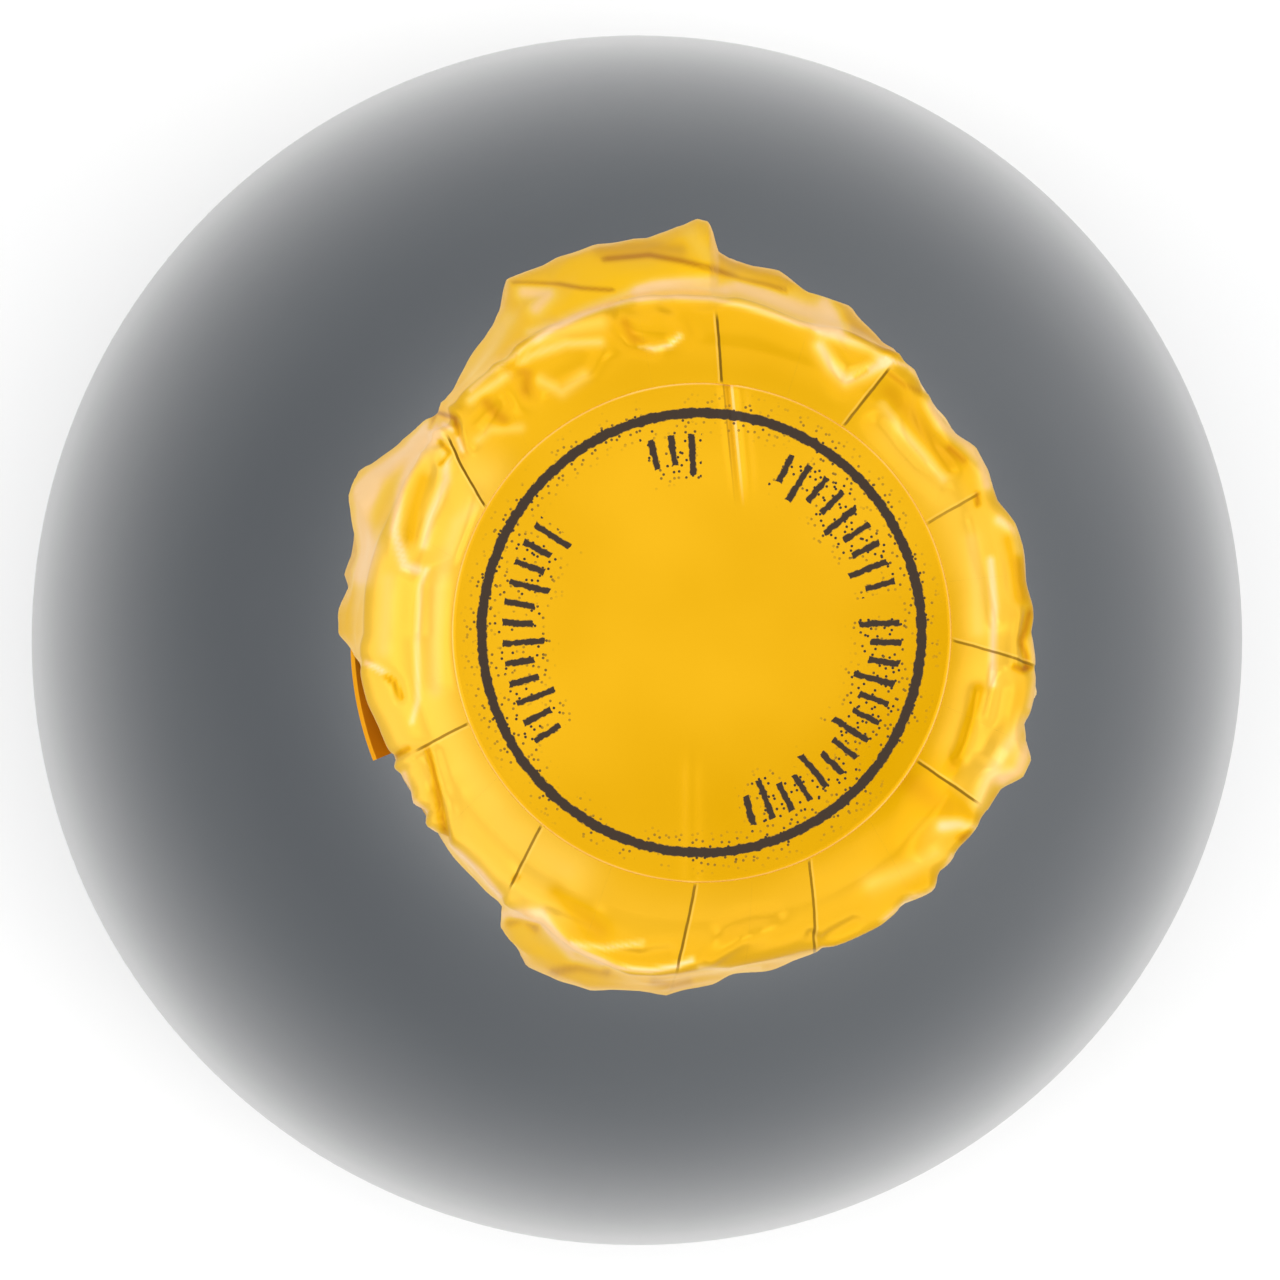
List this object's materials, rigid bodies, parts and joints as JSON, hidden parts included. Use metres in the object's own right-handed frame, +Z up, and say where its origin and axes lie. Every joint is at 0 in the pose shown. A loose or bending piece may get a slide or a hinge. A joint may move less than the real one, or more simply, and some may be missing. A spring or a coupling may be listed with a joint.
{
  "type": "sparkling wine bottle",
  "caption": "Corked sparkling wine bottle of dark glass with wirehood, crumpled foil capsule with tear strip and tab, and plain labels; cork, wirehood and foil lift off.",
  "frame": {"origin": "middle of the ring that the bottle stands on, at the level of the table", "axes": "+Z up along the bottle's axis, from base to capsule; -Y towards the front label; the tear tab is at -X"},
  "size_m": [0.088, 0.0894, 0.3209],
  "materials": {
    "dark_glass": "gloss",
    "wine": "gloss",
    "pressed_cork": "matte",
    "natural_cork": "matte",
    "lacquered_plate": "gloss",
    "steel_wire": "satin",
    "yellow_foil": "gloss",
    "printed_foil": "gloss",
    "label_paper": "matte"
  },
  "bodies": {
    "bottle": {"bottle_glass": "dark_glass", "wine": "wine", "front_label": "label_paper", "back_label": "label_paper", "foil_skirt": "yellow_foil", "tear_strip": "yellow_foil"},
    "cork": {"cork_body": "pressed_cork", "cork_disc_upper": "natural_cork", "cork_disc_lower": "natural_cork"},
    "wirehood": {"crown_plate": "lacquered_plate", "wirehood_wire_1": "steel_wire", "wirehood_wire_2": "steel_wire", "wirehood_wire_3": "steel_wire", "wirehood_wire_4": "steel_wire", "collar_wire": "steel_wire"},
    "foil_cap": {"foil_hood": "yellow_foil", "foil_top_disc": "printed_foil"},
    "tab": {"tear_tab": "yellow_foil"}
  },
  "joints": [
    {"name": "cork_pull", "type": "slide", "parent": "bottle", "child": "cork", "axis": [0, 0, 1], "range_m": [0, 0.05], "deforming": ["collar_wire"]},
    {"name": "wirehood_lift", "type": "slide", "parent": "cork", "child": "wirehood", "axis": [0, 0, 1], "range_m": [0, 0.05], "deforming": ["collar_wire"]},
    {"name": "foil_lift", "type": "slide", "parent": "wirehood", "child": "foil_cap", "axis": [0, 0, 1], "range_m": [0, 0.06]},
    {"name": "tear_tab_peel", "type": "hinge", "parent": "bottle", "child": "tab", "pos_m": [-0.0195, 0.00344, 0.2755], "axis": [0, 0, -1], "range_deg": [0, 110]}
  ]
}
